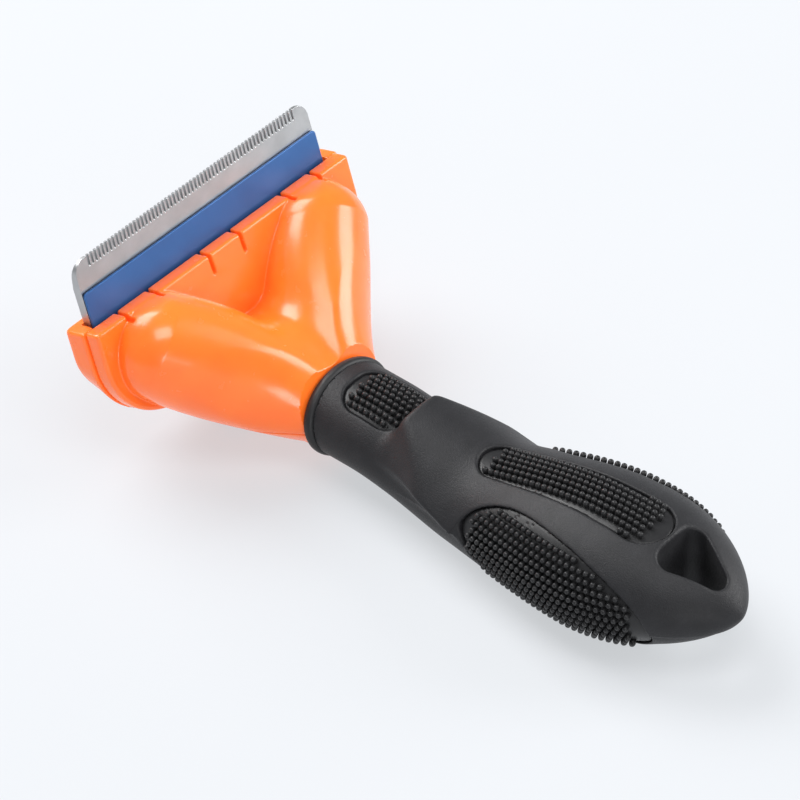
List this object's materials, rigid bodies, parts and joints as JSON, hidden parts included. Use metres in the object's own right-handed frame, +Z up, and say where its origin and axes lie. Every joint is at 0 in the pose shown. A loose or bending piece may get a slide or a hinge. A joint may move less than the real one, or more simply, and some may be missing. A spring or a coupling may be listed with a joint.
{
  "type": "deshedding tool",
  "caption": "Pet deshedding tool: a fine-toothed steel comb blade in a plastic head, a thumb-pushed hair ejector bar behind a return spring, and a soft nubbed grip with a hang hole.",
  "frame": {"origin": "bottom centre of the outline box, on the surface that the tool lies on", "axes": "+X along the blade, which is the mirror direction; +Y out of the head, with the grip towards -Y; +Z up"},
  "size_m": [0.0732, 0.1378, 0.0463],
  "materials": {
    "orange_plastic": "glossy",
    "blade_steel": "satin",
    "holder_steel": "satin",
    "screw_steel": "satin",
    "blue_metal": "satin",
    "carriage_plastic": "matte",
    "button_plastic": "satin",
    "pin_steel": "polished",
    "spring_steel": "bright",
    "core_plastic": "matte",
    "collar_rubber": "matte",
    "grip_rubber": "matte",
    "pad_rubber": "satin"
  },
  "bodies": {
    "body": {"front_shell": "orange_plastic", "rear_shell": "orange_plastic", "blade": "blade_steel", "blade_holder": "holder_steel", "blade_screws": "screw_steel", "guide_pin_left": "pin_steel", "guide_pin_right": "pin_steel", "spring_left": "spring_steel", "spring_right": "spring_steel", "shell_screws": "screw_steel", "handle_core": "core_plastic", "core_screws": "screw_steel", "collar_ring": "collar_rubber", "grip": "grip_rubber", "thumb_pad": "pad_rubber", "top_pad": "pad_rubber", "side_pad_left": "pad_rubber", "side_pad_right": "pad_rubber"},
    "ejector": {"ejector_bar": "blue_metal", "ejector_carriage": "carriage_plastic", "bar_screws": "screw_steel", "thumb_button": "button_plastic", "button_screw": "screw_steel"}
  },
  "joints": [
    {"name": "ejector_slide", "type": "slide", "parent": "body", "child": "ejector", "axis": [0, 0.309, 0.9511], "range_m": [0, 0.0065], "stiffness_N_per_m": 150, "springref_m": -0.003, "deforming": ["spring_left", "spring_right"]}
  ]
}
